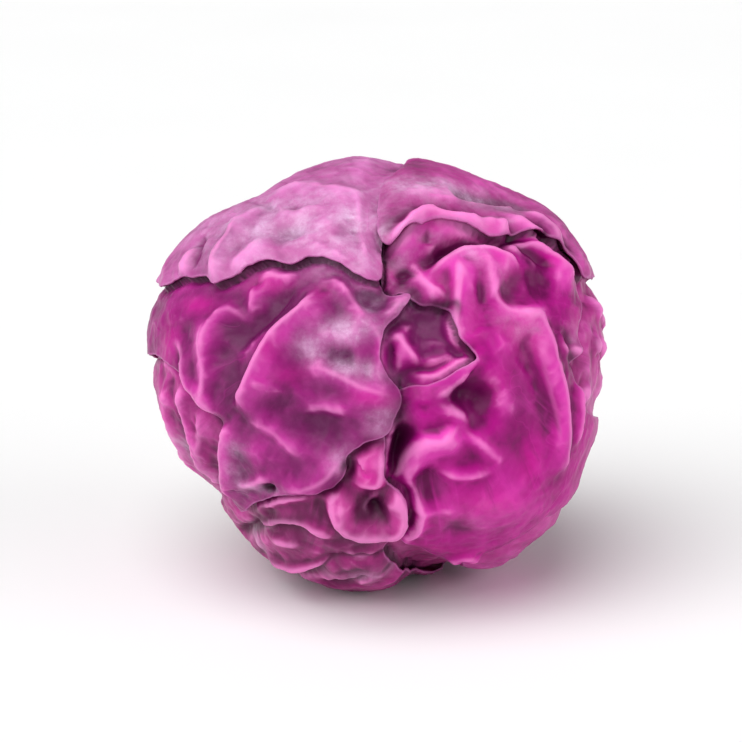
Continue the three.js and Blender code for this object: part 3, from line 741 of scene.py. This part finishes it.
def along_fold(fold):
    """The grid points near a fold, how strongly each is on it, and the way to the fold's right."""
    path = fold.points if isinstance(fold.points, Path) else drawn(fold.points, fold.height)
    low, high = path.samples.min(0), path.samples.max(0)
    reach = 3 * max(fold.left, fold.right) + (high - low).max() / 2
    close = np.flatnonzero(np.abs(SKIN - (low + high) / 2).max(1) < reach)
    far, along, side = path.beside(SKIN[close])
    width = fold.left + (fold.right - fold.left) * smoothstep(side, -0.7, 0.7)
    length = path.along[-1]
    taper = smoothstep(np.minimum(path.along, length - path.along), -0.5, min(FOLD_END, length / 3))
    steps = np.arange(len(taper))
    rights = np.stack([np.interp(along, steps, column) for column in path.rights.T], 1)
    return close, np.interp(along, steps, taper) * np.exp(-((far / width) ** fold.sharp)), rights


def oval(lump):
    """The grid points near an oval on the skin, and how strongly each is in it."""
    centre = np.array(under(*lump.centre))
    outward = unit(centre)
    right = unit(np.cross([0.0, 0.0, 1.0], outward) if abs(outward[2]) < 0.95 else np.array([1.0, 0, 0]))
    up = np.cross(outward, right)
    a, b = (size * UNIT for size in lump.size)
    close = np.flatnonzero(np.abs(SKIN - centre).max(1) < 2.2 * max(a, b))
    offset = SKIN[close] - centre
    c, s = math.cos(math.radians(lump.turn)), math.sin(math.radians(lump.turn))
    x, y = offset @ right, offset @ up
    along, across = (c * x + s * y) / a, (c * y - s * x) / b
    return close, np.exp(-(along**2 + across**2)) * (dot(offset, outward) > -0.6 * HALF_WIDTH)


# ---------------------------------------------------------------- how the leaves lie on one another


ORDER = [*LEAVES, "heart"]
STALK_AXIS = unit(to_face(mesh_arrays(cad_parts["cut_stalk"].data)[0]).mean(0))
BEHIND = smoothstep(SKIN[:, 1], -5, 30)


def jagged(depth, seed):
    """A leaf's depth with its margin made slightly ragged."""
    return depth + sum(stray * noise_field(SKIN, size, seed + own) for stray, size, own in RAGGED)


def crumple(seed, size):
    """Irregular wrinkles: soft ridges whose lines wander."""
    drift = np.stack([noise_field(SKIN, DRIFT_SIZE, seed + 10 * k, 1) for k in (1, 2, 3)], 1)
    lines = noise_field(SKIN + DRIFT * drift, WRINKLE_SIZE, seed, 3)
    dimples = noise_field(SKIN, DIMPLE_SIZE, seed + 5, 2)
    fine = np.abs(noise_field(SKIN, GRAIN_SIZE, seed + 7, 2))
    return size * (0.7 - 2.2 * np.abs(lines)) + 0.22 * size * dimples - 0.45 * fine


def painted(marks):
    """How strongly each grid point lies in any of some areas or along some lines."""
    strength = np.zeros(COUNT)
    for mark in marks:
        close, share = oval(mark) if isinstance(mark, Lump) else along_fold(mark)[:2]
        strength[close] = np.maximum(strength[close], mark.height * share)
    return strength


def rib_paths(middle):
    """A leaf's midrib from the stalk over its middle, and the veins that branch off it."""
    axis = unit(np.cross(STALK_AXIS, middle))
    side = np.cross(axis, STALK_AXIS)
    span = math.acos(float(STALK_AXIS @ middle)) * 1.35

    def at(angle, aside):
        rib = math.cos(angle) * STALK_AXIS + math.sin(angle) * side
        return math.cos(aside) * rib + math.sin(aside) * axis

    midrib = [at(angle, 0) for angle in np.linspace(0.2, span, 12)]
    branches = []
    for start in np.arange(0.35, span - 0.3, 0.22):
        for hand in (-1, 1):
            steps = np.linspace(0, 1, 7)
            branches.append([at(start + 0.55 * t + 0.1 * hand * t * t, 0.75 * hand * t) for t in steps])
    return midrib, branches


def path_through(directions):
    return Path(np.array([toward(d) for d in smooth_path(directions, 0.015)]))


def own_relief(name, seed):
    """A leaf's shape where nothing covers it: its folds and lumps, wrinkles, and the ribs at the back."""
    relief = Relief()
    relief.height += HEAD_SHAPE + crumple(seed, WRINKLE.get(name, PLAIN_WRINKLE))
    for fold in FOLDS[name]:
        relief.fold(fold)
    for lump in LUMPS.get(name, []):
        relief.lump(lump)
    ribs = Relief()
    if name in MIDDLES:
        midrib, branches = rib_paths(MIDDLES[name])
        ribs.fold(Fold(path_through(midrib), MIDRIB[0], MIDRIB[1], MIDRIB[1]))
        for branch in branches:
            ribs.fold(Fold(path_through(branch), SIDE_VEIN[0], SIDE_VEIN[1], SIDE_VEIN[1]))
    relief.height += ribs.height * BEHIND
    return np.column_stack([relief.height, relief.shift, relief.crest, relief.crease, ribs.height * BEHIND])


HEAD_SHAPE = np.zeros(COUNT)
for lump in SHAPE:
    close, share = oval(lump)
    HEAD_SHAPE[close] += lump.height * share
LOOSE = 1 - painted(TIGHT)
MIDDLES = {name: margin_loop(name)[1] for name in LEAVES}
DEPTHS = {name: jagged(depth_inside(name), seed) for seed, name in enumerate(LEAVES, 1)}
OWN = {name: own_relief(name, seed) for seed, name in enumerate(ORDER, 1)}


def streak_place():
    """Places that are drawn out along the veins, which fan out from the stalk, for each grid point."""
    side = unit(np.cross(STALK_AXIS, [1.0, 0.0, 0.0]))
    up = np.cross(STALK_AXIS, side)
    across = unit(np.stack([DIRECTIONS @ side, DIRECTIONS @ up], 1))
    away = np.arccos(np.clip(DIRECTIONS @ STALK_AXIS, -1, 1))
    return np.concatenate([across, 0.22 * away[:, None]], 1)


SHADED = painted(SHADE)
EVERYWHERE = {
    "bloom": painted(BLOOM_AND_SHEEN),
    "deep": painted(DEEP_AND_SHADE),
    "bright": painted(BRIGHT),
    "foot": smoothstep(DIRECTIONS @ STALK_AXIS, 0.86, 0.97),
    "fan": 1 - smoothstep(np.abs(DIRECTIONS @ STALK_AXIS), 0.5, 0.9),
    "streak": streak_place(),
}


def settled(name):
    """A leaf's outer face over the whole grid, following those that cover it, and what its colour needs."""
    relief = OWN[name]
    sunk, gap = np.zeros(COUNT), np.zeros(COUNT)
    tuck = TUCK[1] * LOOSE + TIGHT_TUCK * (1 - LOOSE)
    follow = FOLLOW[1] * LOOSE + TIGHT_FOLLOW * (1 - LOOSE)
    for upper in reversed(ORDER[: ORDER.index(name)]):
        share = smoothstep(DEPTHS[upper], -follow, -FOLLOW[0])[:, None]
        relief = relief * (1 - share) + OWN[upper] * share
        outside = np.maximum(-DEPTHS[upper], 0)
        groove = GROOVE[0] * np.exp(-((outside / GROOVE[1]) ** 2)) * (outside > 0)
        sunk += LAYER_PITCH * smoothstep(-outside, -tuck, -TUCK[0]) + groove * LOOSE
        # gap: painted shade just outside a loose margin of a leaf above.
        gap = np.maximum(gap, np.exp(-((outside / MARGIN_SHADE_REACH) ** 2)) * LOOSE)
    height, shift, (crest, crease, ribs) = relief[:, 0], relief[:, 1:4], relief[:, 4:].T
    looks = {
        # Painted highlight where the surface rises to a crest, painted shade where it dips into a crease.
        "crest": np.maximum(crest, 1.2 * (height - smoothed(height, 1.8))),
        "crease": np.maximum(crease, 1.2 * (smoothed(height, 1.8) - height)),
        # relief_shading: painted light on raised parts and painted shade in low parts of the relief.
        "relief_shading": height - smoothed(height, 6.0),
        "rib": ribs,
        "shade": np.maximum(SHADED, 0.85 * gap),
    }
    return (RADIUS + height - sunk)[:, None] * DIRECTIONS + shift, looks | EVERYWHERE


def rested(points):
    """World points with none below the surface that the head rests on."""
    points = to_world(points)
    points[:, 2] = np.maximum(points[:, 2], 0)
    return points


# ---------------------------------------------------------------- meshes


class Cut:
    """The part of the grid where a depth is above 0, cut along the line where it is 0."""

    def __init__(self, depth):
        inside = depth > 0
        count = inside[TRIANGLES].sum(1)
        whole = TRIANGLES[count == 3]
        lone = self.turned_to_odd(TRIANGLES[count == 1], inside, True)
        pair = self.turned_to_odd(TRIANGLES[count == 2], inside, False)
        pairs = np.concatenate([lone[:, [0, 1]], lone[:, [0, 2]], pair[:, [1, 0]], pair[:, [2, 0]]])
        crossings, at = np.unique(pairs, axis=0, return_inverse=True)
        kept = np.unique(np.concatenate([whole.ravel(), lone[:, 0], pair[:, 1:].ravel()]))
        place = np.zeros(COUNT, np.int64)
        place[kept] = np.arange(len(kept))
        at = at.reshape(-1) + len(kept)
        ab, ac, ba, ca = np.split(at, np.cumsum([len(lone), len(lone), len(pair)]))
        self.triangles = np.concatenate(
            [
                place[whole],
                np.stack([place[lone[:, 0]], ab, ac], 1),
                np.stack([ba, place[pair[:, 1]], place[pair[:, 2]]], 1),
                np.stack([ba, place[pair[:, 2]], ca], 1),
            ]
        )
        self.inner = np.concatenate([kept, crossings[:, 0]])
        self.outer = np.concatenate([kept, crossings[:, 1]])
        a, b = depth[self.inner], depth[self.outer]
        share = np.where(self.inner == self.outer, 0, a / np.where(self.inner == self.outer, 1, a - b))
        self.share = np.clip(share, 0, 0.92)

    @staticmethod
    def turned_to_odd(triangles, inside, wanted):
        """Triangles with the one corner that is inside, or outside, first."""
        odd = np.argmax(inside[triangles] == wanted, axis=1)
        return np.take_along_axis(triangles, (odd[:, None] + np.arange(3)) % 3, 1)

    def of(self, values):
        share = self.share if values.ndim == 1 else self.share[:, None]
        return values[self.inner] * (1 - share) + values[self.outer] * share


def rim_sides(triangles):
    """The sides that belong to only one triangle, in that triangle's direction."""
    sides = triangles[:, [0, 1, 1, 2, 2, 0]].reshape(-1, 2)
    _, at, uses = np.unique(np.sort(sides, 1), axis=0, return_inverse=True, return_counts=True)
    return sides[uses[at.reshape(-1)] == 1]


def mesh_piece(name, points, triangles, values, material):
    """A smooth-shaded object in the row frame, with named numbers on its points."""
    me = bpy.data.meshes.new(name)
    me.vertices.add(len(points))
    me.vertices.foreach_set("co", points.ravel())
    me.loops.add(triangles.size)
    me.loops.foreach_set("vertex_index", triangles.ravel().astype(np.int32))
    me.polygons.add(len(triangles))
    me.polygons.foreach_set("loop_start", np.arange(0, triangles.size, 3, dtype=np.int32))
    me.polygons.foreach_set("use_smooth", np.ones(len(triangles), bool))
    me.update(calc_edges=True)
    for key, numbers in values.items():
        kind, field = ("FLOAT", "value") if numbers.ndim == 1 else ("FLOAT_VECTOR", "vector")
        me.attributes.new(key, kind, "POINT").data.foreach_set(field, numbers.ravel())
    me.materials.append(material)
    piece = bpy.data.objects.new(name, me)
    bpy.context.collection.objects.link(piece)
    return piece


def dressed(piece, node):
    """Puts a piece in place of a node of the frame."""
    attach(piece, "root")
    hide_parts(node)


def leaf_piece(name, seed):
    """A wrapper leaf as a closed thin sheet."""
    face, looks = settled(name)
    depth = DEPTHS[name]
    lift, ripple, reach = FLUTTER
    near_margin = np.exp(-np.maximum(depth, 0) / reach)
    flutter = lift * (0.3 + noise_field(SKIN, ripple, seed + 90)) * near_margin
    drop = DROP * near_margin**3
    face += (flutter * LOOSE - drop * (1 - LOOSE))[:, None] * DIRECTIONS
    cut = Cut(depth)
    outer = cut.of(face)
    thickness = cut.of(MARGIN_SHEET + (SHEET - MARGIN_SHEET) * smoothstep(depth, 0, THINNING))
    inner = outer - thickness[:, None] * unit(outer)
    count = len(outer)
    a, b = rim_sides(cut.triangles).T
    walls = np.concatenate([np.stack([b, a, a + count], 1), np.stack([b, a + count, b + count], 1)])
    triangles = np.concatenate([cut.triangles, cut.triangles[:, ::-1] + count, walls])
    values = {key: np.concatenate([cut.of(numbers)] * 2) for key, numbers in (looks | {"rim": depth}).items()}
    points = rested(np.concatenate([outer, inner]))
    dressed(mesh_piece(name + "_sheet", points, triangles, values, leaf_material(name)), name)


def heart_piece():
    """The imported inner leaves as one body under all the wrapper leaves."""
    face, looks = settled("heart")
    values = looks | {"rim": np.full(COUNT, HALF_WIDTH)}
    dressed(mesh_piece("heart_leaves", rested(face), TRIANGLES, values, leaf_material("heart")), "heart")


# ---------------------------------------------------------------- materials


def srgb(red, green, blue):
    """A colour given as sRGB numbers up to 255, in linear light."""
    return (*(((c / 255 + 0.055) / 1.055) ** 2.4 if c > 10 else c / 3295 for c in (red, green, blue)), 1)


class Nodes:
    """Short calls for building one material's nodes."""

    def __init__(self, name):
        self.material = bpy.data.materials.new(name)
        self.material.use_nodes = True
        self.tree = self.material.node_tree
        self.tree.nodes.clear()

    def add(self, kind, inputs=None, **settings):
        node = self.tree.nodes.new("ShaderNode" + kind)
        for key, value in settings.items():
            setattr(node, key, value)
        for key, value in (inputs or {}).items():
            if isinstance(value, bpy.types.NodeSocket):
                self.tree.links.new(value, node.inputs[key])
            else:
                node.inputs[key].default_value = value
        return node

    def number(self, key):
        return self.add("Attribute", attribute_name=key).outputs["Fac"]

    def math(self, operation, a, b=0.0, c=0.0):
        return self.add("Math", {0: a, 1: b, 2: c}, operation=operation).outputs[0]

    def ranged(self, value, low, high, to_low=0.0, to_high=1.0):
        inputs = {"Value": value, "From Min": low, "From Max": high, "To Min": to_low, "To Max": to_high}
        return self.add("MapRange", inputs, interpolation_type="SMOOTHSTEP").outputs["Result"]

    def noise(self, scale, detail=3.0, roughness=0.55, distortion=0.0):
        return self.noise_at(self.place, scale, detail, roughness, distortion)

    def noise_at(self, place, scale, detail, roughness, distortion):
        inputs = {"Vector": place, "Scale": scale, "Detail": detail}
        inputs |= {"Roughness": roughness, "Distortion": distortion}
        return self.add("TexNoise", inputs).outputs["Fac"]

    def mix(self, share, a, b):
        return self.add("Mix", {0: share, 6: a, 7: b}, data_type="RGBA").outputs[2]

    @property
    def place(self):
        return self.add("TexCoord").outputs["Object"]

    @property
    def streak(self):
        return self.add("Attribute", attribute_name="streak").outputs["Vector"]


Palette = namedtuple("Palette", "deep mid light bloomed")
SHADOW = srgb(40, 4, 30)
MAGENTA = srgb(200, 8, 142)
RIDGE_HIGHLIGHT = srgb(244, 146, 210)
BLOOM_AND_SHEEN_LILAC = srgb(222, 184, 220)
CREAM = srgb(232, 222, 204)
PALE_MARGIN = srgb(190, 110, 168)
PALETTES = {
    "shoulder_leaf": Palette(srgb(100, 14, 74), srgb(164, 36, 124), srgb(218, 84, 176), 0.12),
    "crown_leaf": Palette(srgb(124, 40, 100), srgb(178, 68, 144), srgb(222, 122, 194), 0.3),
    "front_left_leaf": Palette(srgb(90, 8, 70), srgb(138, 16, 106), srgb(186, 44, 146), 0.05),
    "belly_leaf": Palette(srgb(86, 12, 62), srgb(136, 20, 98), srgb(192, 54, 144), 0.06),
    "right_leaf": Palette(srgb(100, 6, 74), srgb(166, 12, 124), srgb(214, 54, 168), 0.0),
    "right_side_leaf": Palette(srgb(106, 20, 78), srgb(176, 44, 132), srgb(218, 90, 180), 0.06),
    "left_side_leaf": Palette(srgb(100, 16, 76), srgb(168, 36, 126), srgb(212, 80, 170), 0.06),
    "keel_leaf": Palette(srgb(88, 14, 64), srgb(142, 28, 102), srgb(198, 64, 148), 0.06),
    "heart": Palette(srgb(102, 14, 80), srgb(148, 20, 114), srgb(202, 50, 158), 0.0),
}


def leaf_colour(n, look, mottle, veil, vein):
    """The colour: mottled, with painted light and shade from the relief, deep purple and painted shade in
    hollows, painted shade in creases and gaps, a painted highlight on crests, and pale on ribs and the margin.
    """
    # Painted light and shade from the relief, shifted by random mottle.
    relief_shading = n.math("MULTIPLY_ADD", n.number("relief_shading"), 0.3, mottle)
    colour = n.mix(n.ranged(relief_shading, 0.05, 0.5), look.deep, look.mid)
    colour = n.mix(n.ranged(relief_shading, 0.42, 0.95), colour, look.light)
    vivid = n.math("MULTIPLY", n.number("bright"), n.ranged(mottle, 0.2, 0.7, 0.4, 0.8))
    colour = n.mix(vivid, colour, MAGENTA)
    # Deep purple, which in hollows and dark folds stands in as painted shade.
    hollow = n.math("MULTIPLY", n.number("deep"), n.ranged(mottle, 0.2, 0.7, 0.95, 0.6))
    colour = n.mix(hollow, colour, look.deep)
    # Grey bloom, which in places stands in as painted sheen and painted rim light.
    colour = n.mix(veil, colour, BLOOM_AND_SHEEN_LILAC)
    streak = n.noise_at(n.streak, 9.0, 4.0, 0.6, 0.6)
    fan = n.number("fan")
    pale = n.math("MULTIPLY", n.ranged(streak, 0.5, 0.75, 0.0, 0.45), fan)
    dark = n.math("MULTIPLY", n.ranged(streak, 0.5, 0.25, 0.0, 0.5), fan)
    colour = n.mix(dark, n.mix(pale, colour, look.light), look.deep)
    colour = n.mix(n.math("MULTIPLY", vein, 0.15), colour, look.light)
    # Painted highlight along crests, then painted shade along creases.
    crest = n.ranged(n.number("crest"), 0.1, 1.0, 0.0, 0.55)
    colour = n.mix(crest, colour, RIDGE_HIGHLIGHT)
    colour = n.mix(n.ranged(n.number("crease"), 0.1, 1.0, 0.0, 0.9), colour, look.deep)
    colour = n.mix(n.ranged(n.number("rib"), 0.15, 1.6, 0.0, 0.75), colour, CREAM)
    colour = n.mix(n.ranged(n.number("rim"), 0.15, 0.8, 0.5, 0.0), colour, PALE_MARGIN)
    colour = n.mix(n.math("MULTIPLY", n.number("foot"), 0.85), colour, CREAM)
    # Painted shade in crevices and under margins.
    return n.mix(n.math("MULTIPLY", n.number("shade"), 0.95), colour, SHADOW)


def leaf_material(name):
    """A waxy red cabbage leaf with a grey bloom."""
    look = PALETTES[name]
    n = Nodes(name)
    mottle = n.noise(48.0, 5.0, 0.6, 0.5)
    fine = n.noise(420.0, 3.0)
    # veil: the grey bloom, partly painted sheen and painted rim light.
    veil = n.math("MULTIPLY_ADD", n.number("bloom"), 0.8, look.bloomed)
    veil = n.math("MULTIPLY", veil, n.ranged(n.noise(150.0, 5.0, 0.7), 0.35, 0.7, 0.35, 1.0))
    veil = n.math("MULTIPLY", veil, n.ranged(mottle, 0.25, 0.75, 0.3, 1.0))
    rough = n.math("MULTIPLY_ADD", fine, 0.16, n.math("MULTIPLY_ADD", veil, 0.1, 0.3))
    lines = n.math("ABSOLUTE", n.math("SUBTRACT", n.noise(38.0, 2.0, 0.5, 0.8), 0.5))
    vein = n.math("MULTIPLY", n.ranged(lines, 0.0, 0.012, 1.0, 0.0), n.ranged(n.noise(30.0), 0.4, 0.65))
    ground = n.math("MULTIPLY_ADD", n.noise(1500.0, 2.0), 0.15, n.math("MULTIPLY", fine, 0.4))
    ground = n.math("MULTIPLY_ADD", vein, 0.25, ground)
    bump = n.add("Bump", {"Strength": 0.4, "Distance": 0.0006, "Height": ground}).outputs["Normal"]
    shader = n.add(
        "BsdfPrincipled",
        {
            "Base Color": leaf_colour(n, look, mottle, veil, vein),
            "Roughness": rough,
            "Normal": bump,
            "Specular IOR Level": n.math("MULTIPLY_ADD", veil, 0.7, 0.14),
            "Subsurface Weight": 0.08,
            "Subsurface Radius": (1.0, 0.35, 0.6),
            "Subsurface Scale": 0.003,
        },
    )
    n.add("OutputMaterial", {"Surface": shader.outputs[0]})
    return n.material


def stalk_material():
    """A cut cabbage stalk: pale green-cream and fibrous, browned on the cut face."""
    n = Nodes("cut_stalk")
    fibres = n.noise(260.0, 5.0, 0.7, 0.4)
    blotch = n.noise(70.0, 3.0)
    colour = n.mix(n.ranged(fibres, 0.3, 0.7), srgb(176, 166, 120), srgb(226, 220, 190))
    colour = n.mix(n.ranged(blotch, 0.5, 0.75, 0.0, 0.5), colour, srgb(170, 120, 150))
    rings = n.math("SINE", n.math("MULTIPLY", n.number("ring"), 2.6))
    dry = n.mix(n.ranged(rings, -1.0, 1.0), srgb(164, 134, 92), srgb(208, 190, 150))
    dry = n.mix(n.ranged(n.number("ring"), 9.0, 12.5), dry, srgb(120, 92, 64))
    colour = n.mix(n.number("face"), colour, dry)
    bump = n.add("Bump", {"Strength": 0.5, "Distance": 0.0008, "Height": fibres}).outputs["Normal"]
    rough = n.ranged(fibres, 0.0, 1.0, 0.6, 0.85)
    shader = n.add("BsdfPrincipled", {"Base Color": colour, "Roughness": rough, "Normal": bump})
    n.add("OutputMaterial", {"Surface": shader.outputs[0]})
    return n.material


def plain_material(name, colour, roughness):
    n = Nodes(name)
    grain = n.ranged(n.noise(4.0), 0.0, 1.0, roughness - 0.05, roughness + 0.05)
    shader = n.add("BsdfPrincipled", {"Base Color": colour, "Roughness": grain})
    n.add("OutputMaterial", {"Surface": shader.outputs[0]})
    return n.material


# ---------------------------------------------------------------- stalk


def stalk_profile(foot, end, rings=46):
    """Heights and radii of the stalk, from its foot over its side and rounded edge to the middle of the face."""
    swell = STALK_WIDEST - STALK_FOOT
    profile = [(foot, r) for r in np.linspace(0.2, STALK_FOOT, 4)]
    for height in np.linspace(foot, end - 1.6, rings):
        profile.append((height, STALK_FOOT + swell * smoothstep(height, foot, end - 12)))
    profile += [(end - 0.9, 0.925), (end - 0.4, 0.89)]
    for r in np.linspace(STALK_FACE, 0.02, 16):
        profile.append((end - 0.5 + 0.9 * (1 - r) * (r < 0.8), r))
    return profile


def stalk_piece(around=96):
    """The cut stalk, knobbly with old leaf scars, from its buried foot to the slightly domed cut face."""
    places = to_face(mesh_arrays(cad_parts["cut_stalk"].data)[0])
    heights = places @ STALK_AXIS
    foot, end = heights.min(), heights.max()
    widest = np.linalg.norm(places - np.outer(heights, STALK_AXIS), axis=1).max()
    side = unit(np.cross(STALK_AXIS, [1.0, 0.0, 0.0]))
    up = np.cross(STALK_AXIS, side)
    angle = np.linspace(0, 2 * math.pi, around, endpoint=False)
    spokes = np.outer(np.cos(angle), side) + np.outer(np.sin(angle), up)
    profile = stalk_profile(foot, end)
    points, ring, face = [], [], []
    for height, share in profile:
        circle = height * STALK_AXIS + share * widest * spokes
        points.append(circle)
        ring.append(np.full(around, share * widest))
        face.append(np.full(around, float(height > end - 0.95)))
    points = np.concatenate(points)
    outward = unit(points - np.outer(points @ STALK_AXIS, STALK_AXIS))
    on_side = 1 - np.concatenate(face)
    knob, grain = (size * noise_field(points, *rest) for size, *rest in (STALK_KNOBS, STALK_GRAIN))
    knobs = knob * on_side + grain
    points = points + (knobs - 0.3)[:, None] * outward * np.minimum(1, np.concatenate(ring) / 3)[:, None]
    last = len(profile) - 1
    row, column = np.divmod(np.arange(last * around), around)
    a, b = row * around + column, row * around + (column + 1) % around
    triangles = np.concatenate([np.stack([a, b, b + around], 1), np.stack([a, b + around, a + around], 1)])
    caps = [np.arange(1, around - 1), np.arange(2, around)]
    start = np.stack([np.zeros(around - 2, int), caps[1], caps[0]], 1)
    finish = np.stack([np.zeros(around - 2, int), *caps], 1) + last * around
    values = {"ring": np.concatenate(ring), "face": np.concatenate(face)}
    triangles = np.concatenate([triangles, start, finish])
    piece = mesh_piece("stalk", rested(points), triangles, values, stalk_material())
    dressed(piece, "cut_stalk")


# ---------------------------------------------------------------- building and staging


for order, leaf in enumerate(LEAVES, 1):
    leaf_piece(leaf, order)
heart_piece()
stalk_piece()


def white_world():
    """Plain white light from all round."""
    world = bpy.data.worlds.new("studio")
    bpy.context.scene.world = world
    world.use_nodes = True
    world.node_tree.nodes["Background"].inputs["Color"].default_value = (1, 1, 1, 1)
    world.node_tree.nodes["Background"].inputs["Strength"].default_value = AMBIENT


def soft_light(name, source, spread, strength):
    """A broad far lamp that shines from a direction."""
    lamp = bpy.data.lights.new(name, "SUN")
    lamp.angle, lamp.energy = math.radians(spread), strength
    light = bpy.data.objects.new(name, lamp)
    light.rotation_euler = Vector(source).to_track_quat("Z", "Y").to_euler()
    bpy.context.collection.objects.link(light)


def stage_floor():
    """A wide plain floor."""
    me = bpy.data.meshes.new("floor")
    corners = [(x * FLOOR_REACH, y * FLOOR_REACH, 0) for x, y in ((-1, -1), (1, -1), (1, 1), (-1, 1))]
    me.from_pydata(corners, [], [(0, 1, 2, 3)])
    me.materials.append(plain_material("floor", (0.92, 0.92, 0.92, 1), 0.7))
    floor = bpy.data.objects.new("floor", me)
    bpy.context.collection.objects.link(floor)


def set_camera():
    """The eye that (u, v) refer to, with the head's centre a little right of and below the middle."""
    data = bpy.data.cameras.new("camera")
    data.sensor_width = SENSOR_WIDTH
    data.lens = EYE_DISTANCE / VIEW_WIDTH * SENSOR_WIDTH
    data.shift_x, data.shift_y = VIEW_SHIFT
    camera = bpy.data.objects.new("camera", data)
    camera.location = to_world(EYE_DISTANCE * FRONT[None])[0]
    camera.rotation_euler = (math.pi / 2 - TIP, 0, 0)
    bpy.context.collection.objects.link(camera)
    bpy.context.scene.camera = camera


bpy.context.scene.view_settings.view_transform = "Standard"
white_world()
for lamp, (source, spread, strength) in LAMPS.items():
    soft_light(lamp, source, spread, strength)
stage_floor()
set_camera()
